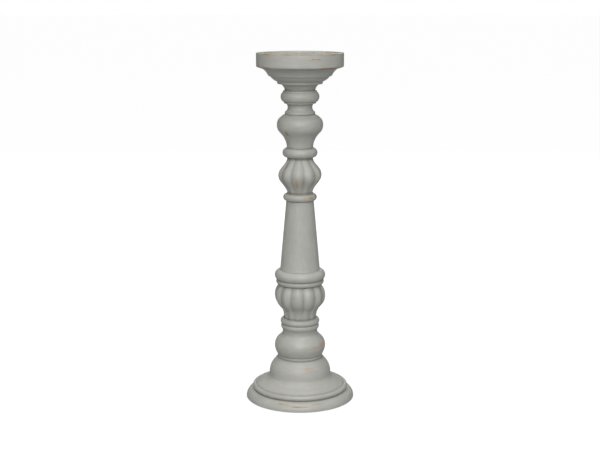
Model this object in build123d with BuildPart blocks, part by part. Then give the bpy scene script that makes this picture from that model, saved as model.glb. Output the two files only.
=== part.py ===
"""Turned and carved candlestick: ten glued turnings on dowels, with a screwed foot and a felt underside.

Millimetres. The origin is the centre of the underside, +Z up the axis, -Y is the front.
Every turning stands on the one below it, so a change of one height moves all that is above it.
"""

import os
from math import cos, radians, sin

from build123d import *

# ---- heights of the pieces, from the table up ----
felt_thick = 1.0
foot_height = 11.6
bell_height = 47.2
ball_height = 41.6
lower_melon_height = 53.6
collar_height = 19.5
column_height = 91.8
upper_melon_height = 69.2
vase_height = 43.4
neck_height = 38.6
cup_height = 39.5

foot_z = felt_thick
bell_z = foot_z + foot_height
ball_z = bell_z + bell_height
lower_melon_z = ball_z + ball_height
collar_z = lower_melon_z + lower_melon_height
column_z = collar_z + collar_height
upper_melon_z = column_z + column_height
vase_z = upper_melon_z + upper_melon_height
neck_z = vase_z + vase_height
cup_z = neck_z + neck_height
top_z = cup_z + cup_height

# ---- radii at the joints, each shared by the two pieces that meet there ----
foot_joint_r = 59.4
ring_joint_r = 24.2
column_joint_r = 26.6
shaft_joint_r = 18.0
vase_joint_r = 17.0
neck_joint_r = 19.6

# ---- felt and foot ----
felt_r = 66.0
foot_r = 71.7
foot_edge_round = 0.5
foot_shoulder_inset = 2.8
foot_shoulder_share = 0.66
foot_crest_r = 60.6
foot_quirk = 0.5

# ---- bell base: curves list (radius, share of the height that the curve climbs) ----
lip_foot_r = 60.9
lip_foot_rise = 0.7
lip_r = 63.2
lip_rise = 3.3
lip_top_r = 61.4
lip_top_rise = 6.1
roll_r = 60.1
roll_rise = 6.8
crease_r = 59.3
crease_rise = 6.5
flare_start_dir = (-1, 0.5)
flare_curve = [(54.0, 0.21), (49.0, 0.39), (44.0, 0.62)]
waist_r = 40.7
waist_rise = 21.2
dome_curve = [(37.9, 0.552), (33.7, 0.828)]
dome_top_r = 30.2
dome_end_dir = (-1, 0.8)
bell_neck_r = 29.2
bell_fillet_r = 29.7
bell_fillet_height = 3.9
bell_groove = 0.6

# ---- ball knop ----
ball_foot_r = 29.9
ball_start_dir = (0.55, 1)
ball_curve = [(33.6, 0.38), (30.0, 0.714), (24.7, 0.878)]
ball_neck_r = 22.9
ball_neck_height = 3.5
ring_b_foot_r = 23.2
ring_b_r = 25.2
ring_b_height = 7.4

# ---- lower melon: (share of the bulb's height from its top, crest radius, groove depth) ----
lower_lobes = 12
lower_groove_deg = 8.2
lower_bulb = [
    (0.0, 28.0, 1.8),
    (0.079, 30.6, 2.3),
    (0.187, 32.9, 2.5),
    (0.33, 33.7, 2.5),
    (0.473, 32.7, 2.4),
    (0.585, 30.0, 2.3),
    (0.695, 25.6, 2.0),
    (0.805, 22.9, 1.6),
    (0.893, 21.9, 1.3),
    (1.0, 21.5, 1.1),
]
ring_a_r = 25.8
ring_a_height = 7.7
ring_a_top_r = 21.8

# ---- shaft collar ----
thin_ring_foot_r = 28.4
thin_ring_r = 31.5
thin_ring_height = 6.6
collar_notch_r = 30.4
torus_r = 33.35
torus_top_r = 27.0

# ---- column ----
column_foot_r = 26.0
column_ease = 2.0

# ---- upper melon ----
upper_lobes = 10
upper_groove_deg = 11.3
upper_bulb = [
    (0.0, 16.9, 1.1),
    (0.115, 18.6, 1.5),
    (0.23, 22.8, 2.0),
    (0.353, 27.2, 2.4),
    (0.481, 28.8, 2.5),
    (0.609, 27.5, 2.4),
    (0.73, 23.4, 2.1),
    (0.849, 19.4, 1.7),
    (1.0, 16.7, 1.1),
]
low_bead_r = 22.0
low_bead_height = 9.6
low_bead_top_r = 16.6
high_bead_r = 22.7
high_bead_height = 12.6
high_bead_foot_r = 16.7

# ---- vase knop ----
vase_curve = [(19.0, 0.32), (24.0, 0.59), (28.3, 0.762)]
vase_r = 29.9
vase_crown_drop = 13.6
shoulder_curve = [(27.9, 0.52), (23.9, 0.809)]
shoulder_end_dir = (-1, 0.35)

# ---- neck collar ----
low_fillet_height = 3.4
waist_foot_r = 18.9
waist_cove_r = 15.9
waist_cove_height = 10.0
waist_cove_top_r = 17.8
under_fillet_r = 20.6
under_fillet_height = 2.6
fillet_ease = 0.4
neck_ring_foot_r = 22.0
neck_ring_r = 24.95
neck_ring_top_r = 22.6
neck_ring_height = 12.0
over_fillet_r = 21.9
over_fillet_height = 2.4
high_cove_foot_r = 19.7
high_cove_curve = [(20.9, 0.47)]
high_cove_end_dir = (1, 0.35)
high_cove_top_r = 25.8

# ---- candle cup: the underside's curves climb from the foot to the rim band ----
rim_r = 56.1
rim_height = 18.4
rim_top_round = 0.5
rim_low_round = 2.2
recess_r = 49.0
recess_depth = 1.8
recess_edge_round = 0.4
recess_floor_round = 0.3
lip_ring_foot_r = 28.8
lip_ring_r = 29.8
lip_ring_height = 3.3
ovolo_mid = (34.5, 0.27)
ovolo_top = (38.1, 0.45)
step_top = (40.6, 0.485)
cavetto_mid = (43.8, 0.73)
cavetto_top = (48.1, 0.915)

# ---- dowels ----
slim_dowel_r = 6.0
stout_dowel_r = 8.0
cup_dowel_reach = 18.0
neck_dowel_reach = 15.0
vase_dowel_reach = 18.0
shaft_dowel_reach = 20.0
collar_dowel_reach = 20.0
melon_dowel_reach = 15.0
screw_to_dowel_wall = 4.8
dowel_clearance = 0.1
dowel_chamfer = 1.0
flute_r = 0.7
flute_depth = 0.5
flutes = 12
glue_gap = 1.0

# ---- stem screw and its washer ----
stem_screw_r = 4.0
stem_screw_core_r = 3.0
stem_screw_length = 57.0
stem_screw_thread = 40.0
stem_screw_pitch = 3.0
stem_screw_point = 6.0
hex_across = 13.0
hex_height = 5.3
hex_chamfer = 0.6
washer_r = 12.0
washer_thick = 2.0
washer_chamfer = 0.3
washer_clearance = 0.5
counterbore_depth = 12.0
screw_clearance = 0.15

# ---- foot screws ----
foot_screw_count = 4
foot_screw_circle_r = 42.0
foot_screw_start_deg = 45
foot_screw_r = 2.0
foot_screw_core_r = 1.5
foot_screw_length = 20.0
foot_screw_plain = 1.0
foot_screw_pitch = 1.5
foot_screw_point = 3.0
foot_screw_sink = 0.4
foot_head_r = 4.0
foot_head_height = 2.3
drive_width = 3.0
drive_slot = 0.7
drive_depth = 1.2

# ---- wood-screw thread: where a ridge crests and ends, as shares of the pitch ----
ridge_crest_share = 0.35
ridge_end_share = 0.8

# ---- heights worked out from the above, used by more than one piece ----
washer_z = bell_z + counterbore_depth - washer_thick
stem_tip_z = washer_z + stem_screw_length
foot_head_z = foot_z + foot_screw_sink
foot_tip_z = foot_head_z + foot_screw_length
melon_dowel_foot_z = stem_tip_z + glue_gap + screw_to_dowel_wall + glue_gap

DOWN = (Align.CENTER, Align.CENTER, Align.MAX)
UP = (Align.CENTER, Align.CENTER, Align.MIN)
UPRIGHT = (0, 1)

os.makedirs("parts", exist_ok=True)


def save(piece, name):
    """Label a finished piece and write it as its own STEP file."""
    piece.label = name
    export_step(piece, f"parts/{name}.step")


def climb(low_z, high_z, curve):
    """Points of a curve that is listed as (radius, share of the climb from low_z to high_z)."""
    return [(radius, low_z + share * (high_z - low_z)) for radius, share in curve]


def bead(start, crown_r, end):
    """Half-round moulding from start to end, or a cove where crown_r is the smaller radius."""
    middle = (Vector(start) + Vector(end)) / 2
    return ThreePointArc(start, (crown_r, middle.Y), end)


def bore(mouth_z, radius, depth, align):
    """Round bore on the axis that opens at mouth_z and runs up or down from it."""
    with Locations((0, 0, mouth_z)):
        Cylinder(radius, depth, align=align, mode=Mode.SUBTRACT)


def dowel_bore(mouth_z, dowel_r, reach, align):
    """Blind bore for a dowel: its size and clearance, and a gap for glue at the end."""
    bore(mouth_z, dowel_r + dowel_clearance, reach + glue_gap, align)


def lobed_section(z, crest_r, groove_depth, lobes, groove_deg):
    """Cross-section of a carved bulb: round-backed lobes that meet in sharp grooves."""

    def spot(radius, turn):
        angle = radians(groove_deg - 90 + turn * 360 / lobes)
        return (radius * cos(angle), radius * sin(angle))

    with BuildSketch(Plane.XY.offset(z)) as section:
        with BuildLine():
            for lobe in range(lobes):
                start = spot(crest_r - groove_depth, lobe)
                crest = spot(crest_r, lobe + 0.5)
                end = spot(crest_r - groove_depth, lobe + 1)
                ThreePointArc(start, crest, end)
        make_face()
    return section.sketch


def bulb_sections(low_z, high_z, bulb, lobes, groove_deg):
    """Cross-sections of a carved bulb, from its foot to its top."""
    return [
        lobed_section(high_z - share * (high_z - low_z), crest_r, depth, lobes, groove_deg)
        for share, crest_r, depth in reversed(bulb)
    ]


def threaded_outline(thread_r, core_r, pitch, low_z, tip_z, point):
    """Half outline of a wood screw's thread: saw-tooth ridges from low_z up, then a point."""
    outline = [(core_r, low_z)]
    for ridge in range(int((tip_z - point - low_z) / pitch)):
        ridge_z = low_z + ridge * pitch
        outline.append((thread_r, ridge_z + ridge_crest_share * pitch))
        outline.append((core_r, ridge_z + ridge_end_share * pitch))
    outline.append((core_r, tip_z - point))
    outline.append((0, tip_z))
    return outline


# ---- felt disc: the flat face that the whole object stands on ----
with BuildPart() as felt_disc:
    Cylinder(felt_r, felt_thick, align=UP)
save(felt_disc.part, "felt_disc")

# ---- foot plinth: a quarter-round moulding, drilled and countersunk for the foot screws ----
with BuildPart() as foot_plinth:
    with BuildSketch(Plane.XZ):
        with BuildLine():
            underside = Line((0, foot_z), (foot_r - foot_edge_round, foot_z))
            edge = JernArc(underside @ 1, (1, 0), foot_edge_round, 90)
            shoulder_z = foot_z + foot_shoulder_share * foot_height
            moulding = ThreePointArc(
                edge @ 1,
                (foot_r - foot_shoulder_inset, shoulder_z),
                (foot_crest_r, bell_z - foot_quirk),
            )
            quirk = Line(moulding @ 1, (foot_joint_r, bell_z))
            seat = Line(quirk @ 1, (0, bell_z))
            Line(seat @ 1, underside @ 0)
        make_face()
    revolve(axis=Axis.Z)
    hole_r = foot_screw_r + screw_clearance
    head_hole_r = foot_head_r + screw_clearance
    with PolarLocations(foot_screw_circle_r, foot_screw_count, start_angle=foot_screw_start_deg):
        with Locations((0, 0, foot_z)):
            Cylinder(hole_r, foot_height, align=UP, mode=Mode.SUBTRACT)
            Cylinder(head_hole_r, foot_screw_sink, align=UP, mode=Mode.SUBTRACT)
        with Locations((0, 0, foot_head_z)):
            Cone(
                head_hole_r,
                hole_r,
                foot_head_height + screw_clearance,
                align=UP,
                mode=Mode.SUBTRACT,
            )
save(foot_plinth.part, "foot_plinth")

# ---- bell base: rolled lip, concave flare, domed bell and a small fillet under the ball ----
with BuildPart() as bell_base:
    crease_z = bell_z + crease_rise
    waist_z = bell_z + waist_rise
    dome_top_z = ball_z - bell_fillet_height - bell_groove
    with BuildSketch(Plane.XZ):
        with BuildLine():
            seat = Line((0, bell_z), (foot_joint_r, bell_z))
            quirk = Line(seat @ 1, (lip_foot_r, bell_z + lip_foot_rise))
            lip = ThreePointArc(
                quirk @ 1, (lip_r, bell_z + lip_rise), (lip_top_r, bell_z + lip_top_rise)
            )
            roll = Line(lip @ 1, (roll_r, bell_z + roll_rise))
            crease = Line(roll @ 1, (crease_r, crease_z))
            flare = Spline(
                crease @ 1,
                *climb(crease_z, waist_z, flare_curve),
                (waist_r, waist_z),
                tangents=[flare_start_dir, UPRIGHT],
            )
            dome = Spline(
                flare @ 1,
                *climb(waist_z, dome_top_z, dome_curve),
                (dome_top_r, dome_top_z),
                tangents=[UPRIGHT, dome_end_dir],
            )
            groove = Line(dome @ 1, (bell_neck_r, ball_z - bell_fillet_height))
            fillet_ring = bead(groove @ 1, bell_fillet_r, (bell_neck_r, ball_z))
            top = Line(fillet_ring @ 1, (0, ball_z))
            Line(top @ 1, seat @ 0)
        make_face()
    revolve(axis=Axis.Z)
    bore(bell_z, washer_r + washer_clearance, counterbore_depth, UP)
    bore(bell_z, stem_screw_r + screw_clearance, bell_height, UP)
    with PolarLocations(foot_screw_circle_r, foot_screw_count, start_angle=foot_screw_start_deg):
        with Locations((0, 0, bell_z)):
            pilot_depth = foot_tip_z + glue_gap - bell_z
            Cylinder(foot_screw_r + screw_clearance, pilot_depth, align=UP, mode=Mode.SUBTRACT)
save(bell_base.part, "bell_base")

# ---- ball knop: squat ball, neck and one half-round ring ----
with BuildPart() as ball_knop:
    ring_b_z = lower_melon_z - ring_b_height
    neck_foot_z = ring_b_z - ball_neck_height
    with BuildSketch(Plane.XZ):
        with BuildLine():
            seat = Line((0, ball_z), (ball_foot_r, ball_z))
            ball = Spline(
                seat @ 1,
                *climb(ball_z, neck_foot_z, ball_curve),
                (ball_neck_r, neck_foot_z),
                tangents=[ball_start_dir, UPRIGHT],
            )
            neck = Line(ball @ 1, (ring_b_foot_r, ring_b_z))
            ring_b = bead(neck @ 1, ring_b_r, (ring_joint_r, lower_melon_z))
            top = Line(ring_b @ 1, (0, lower_melon_z))
            Line(top @ 1, seat @ 0)
        make_face()
    revolve(axis=Axis.Z)
    bore(ball_z, stem_screw_r + screw_clearance, stem_tip_z + glue_gap - ball_z, UP)
    dowel_bore(lower_melon_z, stout_dowel_r, lower_melon_z - melon_dowel_foot_z, DOWN)
save(ball_knop.part, "ball_knop")

# ---- lower melon: lobes that swell under the collar, and the ring below them ----
with BuildPart() as lower_melon:
    ring_a_z = lower_melon_z + ring_a_height
    loft(sections=bulb_sections(ring_a_z, collar_z, lower_bulb, lower_lobes, lower_groove_deg))
    with BuildSketch(Plane.XZ):
        with BuildLine():
            seat = Line((0, lower_melon_z), (ring_joint_r, lower_melon_z))
            ring_a = bead(seat @ 1, ring_a_r, (ring_a_top_r, ring_a_z))
            top = Line(ring_a @ 1, (0, ring_a_z))
            Line(top @ 1, seat @ 0)
        make_face()
    revolve(axis=Axis.Z)
    dowel_bore(lower_melon_z, stout_dowel_r, melon_dowel_reach, UP)
    dowel_bore(collar_z, stout_dowel_r, collar_dowel_reach, DOWN)
save(lower_melon.part, "lower_melon")

# ---- shaft collar: a thin ring and a big rounded one, threaded on the long dowel ----
with BuildPart() as shaft_collar:
    with BuildSketch(Plane.XZ):
        with BuildLine():
            seat = Line((0, collar_z), (thin_ring_foot_r, collar_z))
            notch = (collar_notch_r, collar_z + thin_ring_height)
            thin_ring = bead(seat @ 1, thin_ring_r, notch)
            torus = bead(thin_ring @ 1, torus_r, (torus_top_r, column_z))
            top = Line(torus @ 1, (0, column_z))
            Line(top @ 1, seat @ 0)
        make_face()
    revolve(axis=Axis.Z)
    bore(collar_z, stout_dowel_r + dowel_clearance, collar_height, UP)
save(shaft_collar.part, "shaft_collar")

# ---- column: a straight taper that eases out to the collar ----
with BuildPart() as column_shaft:
    with BuildSketch(Plane.XZ):
        with BuildLine():
            seat = Line((0, column_z), (column_joint_r, column_z))
            ease = Line(seat @ 1, (column_foot_r, column_z + column_ease))
            taper = Line(ease @ 1, (shaft_joint_r, upper_melon_z))
            top = Line(taper @ 1, (0, upper_melon_z))
            Line(top @ 1, seat @ 0)
        make_face()
    revolve(axis=Axis.Z)
    dowel_bore(column_z, stout_dowel_r, collar_dowel_reach, UP)
    dowel_bore(upper_melon_z, slim_dowel_r, shaft_dowel_reach, DOWN)
save(column_shaft.part, "column_shaft")

# ---- upper melon: a lobed bulb between two beads ----
with BuildPart() as upper_melon:
    bulb_foot_z = upper_melon_z + low_bead_height
    bulb_top_z = vase_z - high_bead_height
    loft(sections=bulb_sections(bulb_foot_z, bulb_top_z, upper_bulb, upper_lobes, upper_groove_deg))
    with BuildSketch(Plane.XZ):
        with BuildLine():
            seat = Line((0, upper_melon_z), (shaft_joint_r, upper_melon_z))
            low_bead = bead(seat @ 1, low_bead_r, (low_bead_top_r, bulb_foot_z))
            ledge = Line(low_bead @ 1, (0, bulb_foot_z))
            Line(ledge @ 1, seat @ 0)
        make_face()
        with BuildLine():
            ledge = Line((0, bulb_top_z), (high_bead_foot_r, bulb_top_z))
            high_bead = bead(ledge @ 1, high_bead_r, (vase_joint_r, vase_z))
            top = Line(high_bead @ 1, (0, vase_z))
            Line(top @ 1, ledge @ 0)
        make_face()
    revolve(axis=Axis.Z)
    dowel_bore(upper_melon_z, slim_dowel_r, shaft_dowel_reach, UP)
    dowel_bore(vase_z, slim_dowel_r, vase_dowel_reach, DOWN)
save(upper_melon.part, "upper_melon")

# ---- vase knop: slim below, swelling to a round shoulder ----
with BuildPart() as vase_knop:
    crown_z = neck_z - vase_crown_drop
    with BuildSketch(Plane.XZ):
        with BuildLine():
            seat = Line((0, vase_z), (vase_joint_r, vase_z))
            body = Spline(
                seat @ 1,
                *climb(vase_z, crown_z, vase_curve),
                (vase_r, crown_z),
                tangents=[UPRIGHT, UPRIGHT],
            )
            shoulder = Spline(
                body @ 1,
                *climb(crown_z, neck_z, shoulder_curve),
                (neck_joint_r, neck_z),
                tangents=[UPRIGHT, shoulder_end_dir],
            )
            top = Line(shoulder @ 1, (0, neck_z))
            Line(top @ 1, seat @ 0)
        make_face()
    revolve(axis=Axis.Z)
    dowel_bore(vase_z, slim_dowel_r, vase_dowel_reach, UP)
    dowel_bore(neck_z, slim_dowel_r, neck_dowel_reach, DOWN)
save(vase_knop.part, "vase_knop")

# ---- neck collar: cove, ring between two fillets, and a wider cove under the cup ----
with BuildPart() as neck_collar:
    waist_foot_z = neck_z + low_fillet_height
    waist_top_z = waist_foot_z + waist_cove_height
    ring_foot_z = waist_top_z + under_fillet_height
    ring_top_z = ring_foot_z + neck_ring_height
    cove_foot_z = ring_top_z + over_fillet_height
    with BuildSketch(Plane.XZ):
        with BuildLine():
            seat = Line((0, neck_z), (neck_joint_r, neck_z))
            low_fillet = Polyline(
                seat @ 1,
                (neck_joint_r, waist_foot_z - fillet_ease),
                (waist_foot_r, waist_foot_z),
            )
            waist = bead(low_fillet @ 1, waist_cove_r, (waist_cove_top_r, waist_top_z))
            under_fillet = Polyline(
                waist @ 1,
                (under_fillet_r, waist_top_z + fillet_ease),
                (under_fillet_r, ring_foot_z - fillet_ease),
                (neck_ring_foot_r, ring_foot_z),
            )
            ring = bead(under_fillet @ 1, neck_ring_r, (neck_ring_top_r, ring_top_z))
            over_fillet = Polyline(
                ring @ 1,
                (over_fillet_r, ring_top_z + fillet_ease),
                (over_fillet_r, cove_foot_z - fillet_ease),
                (high_cove_foot_r, cove_foot_z),
            )
            high_cove = Spline(
                over_fillet @ 1,
                *climb(cove_foot_z, cup_z, high_cove_curve),
                (high_cove_top_r, cup_z),
                tangents=[UPRIGHT, high_cove_end_dir],
            )
            top = Line(high_cove @ 1, (0, cup_z))
            Line(top @ 1, seat @ 0)
        make_face()
    revolve(axis=Axis.Z)
    dowel_bore(neck_z, slim_dowel_r, neck_dowel_reach, UP)
    dowel_bore(cup_z, slim_dowel_r, cup_dowel_reach, DOWN)
save(neck_collar.part, "neck_collar")

# ---- candle cup: stepped underside, upright rim band and a shallow round recess ----
with BuildPart() as candle_cup:
    band_z = top_z - rim_height
    recess_z = top_z - recess_depth
    stations = [ovolo_mid, ovolo_top, step_top, cavetto_mid, cavetto_top]
    belly, brow, ledge_edge, hollow, eave = climb(cup_z, band_z, stations)
    with BuildSketch(Plane.XZ):
        with BuildLine():
            seat = Line((0, cup_z), (lip_ring_foot_r, cup_z))
            lip_ring = Line(seat @ 1, (lip_ring_r, cup_z + lip_ring_height))
            ovolo = ThreePointArc(lip_ring @ 1, belly, brow)
            ledge = Line(ovolo @ 1, ledge_edge)
            cavetto = ThreePointArc(ledge @ 1, hollow, eave)
            soffit = Line(cavetto @ 1, (rim_r - rim_low_round, band_z))
            low_round = JernArc(soffit @ 1, (1, 0), rim_low_round, 90)
            band = Line(low_round @ 1, (rim_r, top_z - rim_top_round))
            top_round = JernArc(band @ 1, (0, 1), rim_top_round, 90)
            rim = Line(top_round @ 1, (recess_r + recess_edge_round, top_z))
            recess_edge = JernArc(rim @ 1, (-1, 0), recess_edge_round, 90)
            wall = Line(recess_edge @ 1, (recess_r, recess_z + recess_floor_round))
            corner = JernArc(wall @ 1, (0, -1), recess_floor_round, -90)
            floor = Line(corner @ 1, (0, recess_z))
            Line(floor @ 1, seat @ 0)
        make_face()
    revolve(axis=Axis.Z)
    dowel_bore(cup_z, slim_dowel_r, cup_dowel_reach, UP)
save(candle_cup.part, "candle_cup")

# ---- fluted dowels: name, radius, height of the lower end, height of the upper end ----
dowels = [
    ("cup_dowel", slim_dowel_r, cup_z - cup_dowel_reach, cup_z + cup_dowel_reach),
    ("neck_dowel", slim_dowel_r, neck_z - neck_dowel_reach, neck_z + neck_dowel_reach),
    ("vase_dowel", slim_dowel_r, vase_z - vase_dowel_reach, vase_z + vase_dowel_reach),
    (
        "shaft_dowel",
        slim_dowel_r,
        upper_melon_z - shaft_dowel_reach,
        upper_melon_z + shaft_dowel_reach,
    ),
    (
        "collar_dowel",
        stout_dowel_r,
        collar_z - collar_dowel_reach,
        column_z + collar_dowel_reach,
    ),
    ("melon_dowel", stout_dowel_r, melon_dowel_foot_z, lower_melon_z + melon_dowel_reach),
]
for dowel_name, dowel_r, low_end_z, high_end_z in dowels:
    with BuildPart() as dowel:
        length = high_end_z - low_end_z
        with Locations((0, 0, low_end_z)):
            Cylinder(dowel_r, length, align=UP)
        chamfer(dowel.edges().filter_by(GeomType.CIRCLE), dowel_chamfer)
        with BuildSketch(Plane.XY.offset(low_end_z)):
            with PolarLocations(dowel_r + flute_r - flute_depth, flutes):
                Circle(flute_r)
        extrude(amount=length, mode=Mode.SUBTRACT)
    save(dowel.part, dowel_name)

# ---- stem screw: hex head, plain shank, ridged end ----
with BuildPart() as stem_screw:
    thread_z = stem_tip_z - stem_screw_thread
    with BuildSketch(Plane.XZ):
        with BuildLine():
            shank = Polyline(
                (0, washer_z),
                (stem_screw_r, washer_z),
                (stem_screw_r, thread_z),
                *threaded_outline(
                    stem_screw_r,
                    stem_screw_core_r,
                    stem_screw_pitch,
                    thread_z,
                    stem_tip_z,
                    stem_screw_point,
                ),
            )
            Line(shank @ 1, shank @ 0)
        make_face()
    revolve(axis=Axis.Z)
    with BuildSketch(Plane.XY.offset(washer_z)):
        RegularPolygon(hex_across / 2, 6, major_radius=False)
    extrude(amount=-hex_height)
    chamfer(stem_screw.faces().sort_by(Axis.Z)[0].edges(), hex_chamfer)
save(stem_screw.part, "stem_screw")

# ---- stem washer: between the screw's head and the floor of the counterbore ----
with BuildPart() as stem_washer:
    with BuildSketch(Plane.XY.offset(washer_z)):
        Circle(washer_r)
        Circle(stem_screw_r + screw_clearance, mode=Mode.SUBTRACT)
    extrude(amount=washer_thick)
    upper_rims = stem_washer.faces().sort_by(Axis.Z)[-1].edges()
    chamfer(upper_rims.sort_by(SortBy.LENGTH)[-1], washer_chamfer)
save(stem_washer.part, "stem_washer")

# ---- foot screws: countersunk, cross-drive wood screws on one circle ----
with BuildPart() as foot_screw:
    shank_z = foot_head_z + foot_head_height
    with BuildSketch(Plane.XZ):
        with BuildLine():
            outline = Polyline(
                (0, foot_head_z),
                (foot_head_r, foot_head_z),
                (foot_screw_core_r, shank_z),
                *threaded_outline(
                    foot_screw_r,
                    foot_screw_core_r,
                    foot_screw_pitch,
                    shank_z + foot_screw_plain,
                    foot_tip_z,
                    foot_screw_point,
                ),
            )
            Line(outline @ 1, outline @ 0)
        make_face()
    revolve(axis=Axis.Z)
    with Locations((0, 0, foot_head_z)):
        Box(drive_width, drive_slot, drive_depth, align=UP, mode=Mode.SUBTRACT)
        Box(drive_slot, drive_width, drive_depth, align=UP, mode=Mode.SUBTRACT)
with BuildPart() as foot_screws:
    with PolarLocations(foot_screw_circle_r, foot_screw_count, start_angle=foot_screw_start_deg):
        add(foot_screw.part)
save(foot_screws.part, "foot_screws")
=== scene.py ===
from math import atan2, ceil, cos, hypot, pi, radians, sin, tau

import bpy
import numpy as np
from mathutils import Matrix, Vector


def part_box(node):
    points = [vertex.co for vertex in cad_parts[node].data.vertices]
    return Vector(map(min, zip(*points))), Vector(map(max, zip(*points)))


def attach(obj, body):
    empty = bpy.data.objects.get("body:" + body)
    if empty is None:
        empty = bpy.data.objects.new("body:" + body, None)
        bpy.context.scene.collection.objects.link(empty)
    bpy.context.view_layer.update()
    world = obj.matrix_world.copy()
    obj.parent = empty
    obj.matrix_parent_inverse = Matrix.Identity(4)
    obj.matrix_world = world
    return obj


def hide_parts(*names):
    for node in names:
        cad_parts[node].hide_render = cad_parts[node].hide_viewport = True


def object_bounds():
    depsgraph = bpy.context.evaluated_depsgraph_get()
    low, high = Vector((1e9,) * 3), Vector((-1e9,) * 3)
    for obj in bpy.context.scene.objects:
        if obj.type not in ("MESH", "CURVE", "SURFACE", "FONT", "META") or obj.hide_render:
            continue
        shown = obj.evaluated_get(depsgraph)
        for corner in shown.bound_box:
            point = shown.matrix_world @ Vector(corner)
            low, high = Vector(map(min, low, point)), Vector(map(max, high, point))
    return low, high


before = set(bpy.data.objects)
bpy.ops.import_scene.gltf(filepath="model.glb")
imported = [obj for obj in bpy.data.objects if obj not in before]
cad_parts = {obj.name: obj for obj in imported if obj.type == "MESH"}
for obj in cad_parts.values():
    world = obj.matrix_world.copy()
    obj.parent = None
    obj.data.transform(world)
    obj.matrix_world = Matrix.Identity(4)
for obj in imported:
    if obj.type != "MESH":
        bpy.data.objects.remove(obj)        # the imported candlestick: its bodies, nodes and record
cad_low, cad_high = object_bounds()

# A tall turned candlestick: ten wooden turnings on dowels, carved bulbs, satin grey paint that has
# rubbed through to the wood on a few edges. Metres, +Z up the axis, -Y is the front.
MM = 0.001

# ---- finish of the turnings ----
FINE_STEP = 0.15 * MM        # spacing of the points while an outline is softened
PAINT_SOFTENING = 0.32 * MM  # how far the paint rounds every corner and fills every crevice
TURN_LIMIT = radians(5)      # an outline keeps a point for each turn of this much
REACH_LIMIT = 2.6 * MM       # and at least one for each stretch this long
EDGE_REACH = 1.1 * MM        # stretch over which an edge or a sharp crevice is felt
HOLLOW_REACH = 2.6 * MM      # stretch over which a wide hollow is felt
JOINT_REACH = 1.2 * MM       # how far paint, glaze and painted shade build up either side of a joint
WOBBLE = 0.12 * MM           # how far hand sanding leaves the surface from true
CHIP_DEPTH = 0.28 * MM       # how far a worn edge is rubbed down
FULL_GROOVE = 2.5 * MM       # a carved groove this deep gets the darkest glaze and painted shade
SEAM_REACH = 0.002 * MM      # points closer than this at the seam and poles become one
WIDE_ROUND = 256             # steps round the axis of the widest pieces


# ======================================================================================
# Outlines: half sections of the turnings, from the foot up, softened as paint softens them
# ======================================================================================


def span(node):
    """Heights of a node's foot and top, and its largest radius."""
    low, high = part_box(node)
    return low.z, high.z, max(high.x - low.x, high.y - low.y) / 2


def spline(points, start_dir, end_dir, samples=48):
    """Smooth curve through the points that leaves and arrives in the given directions."""
    knots = np.array(points, float)
    gaps = np.linalg.norm(np.diff(knots, axis=0), axis=1)
    count = len(knots)
    system, right = np.zeros((count, count)), np.zeros((count, 2))
    for end, direction in ((0, start_dir), (count - 1, end_dir)):
        system[end, end] = 1
        right[end] = np.array(direction, float) / np.linalg.norm(direction)
    for i in range(1, count - 1):
        before, after = gaps[i - 1], gaps[i]
        system[i, i - 1 : i + 2] = after, 2 * (before + after), before
        right[i] = 3 * (
            after / before * (knots[i] - knots[i - 1]) + before / after * (knots[i + 1] - knots[i])
        )
    speeds = np.linalg.solve(system, right)
    drawn = []
    for i in range(count - 1):
        t = np.linspace(0, 1, samples, endpoint=False)[:, None]
        hermite = (
            (2 * t**3 - 3 * t**2 + 1) * knots[i]
            + (t**3 - 2 * t**2 + t) * gaps[i] * speeds[i]
            + (3 * t**2 - 2 * t**3) * knots[i + 1]
            + (t**3 - t**2) * gaps[i] * speeds[i + 1]
        )
        drawn.extend(map(tuple, hermite[1:] if i == 0 else hermite))
    return drawn + [tuple(knots[-1])]


def arc(start, middle, end, samples=40):
    """Round stretch from start through middle to end, without the start point."""
    (ax, ay), (bx, by), (cx, cy) = start, middle, end
    area = 2 * (ax * (by - cy) + bx * (cy - ay) + cx * (ay - by))
    a, b, c = ax * ax + ay * ay, bx * bx + by * by, cx * cx + cy * cy
    x = (a * (by - cy) + b * (cy - ay) + c * (ay - by)) / area
    y = (a * (cx - bx) + b * (ax - cx) + c * (bx - ax)) / area
    radius = hypot(ax - x, ay - y)
    first, via, last = (atan2(q - y, p - x) for p, q in (start, middle, end))
    sweep = (last - first) % tau
    if (via - first) % tau > sweep:
        sweep -= tau
    angles = (first + sweep * i / samples for i in range(1, samples + 1))
    return [(x + radius * cos(angle), y + radius * sin(angle)) for angle in angles]


class Outline:
    """Half section of a turning, drawn from the axis at its foot to the axis at its top."""

    def __init__(self, foot, foot_r, bore=(0.0, 0.0)):
        bore_r, bore_end = bore
        self.points = [(0.0, bore_end), (bore_r, bore_end), (bore_r, foot)] if bore_r else [(0.0, foot)]
        self.line(foot_r, foot)

    def line(self, radius, height):
        self.points.append((radius, height))

    def bead(self, crown_r, radius, height):
        """Half-round to a place, or a cove where crown_r is the smaller radius."""
        start = self.points[-1]
        self.points += arc(start, (crown_r, (start[1] + height) / 2), (radius, height))

    def round(self, middle, radius, height):
        self.points += arc(self.points[-1], middle, (radius, height))

    def curve(self, points, start_dir, end_dir):
        self.points += spline([self.points[-1], *points], start_dir, end_dir)

    def swell(self, steps, radius, height, start_dir, end_dir):
        """Smooth curve to a place; a step on the way is a radius in mm and its share of the rise."""
        start = self.points[-1][1]
        rise = height - start
        on_the_way = [(step_r * MM, start + share * rise) for step_r, share in steps]
        self.curve(on_the_way + [(radius, height)], start_dir, end_dir)

    def close(self, top, bore=(0.0, 0.0)):
        """Goes in along the top to the axis, round the bore if there is one."""
        bore_r, bore_end = bore
        if bore_r:
            self.points += [(bore_r, top), (bore_r, bore_end)]
        self.points.append((0.0, bore_end if bore_r else top))
        return self.points


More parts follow.
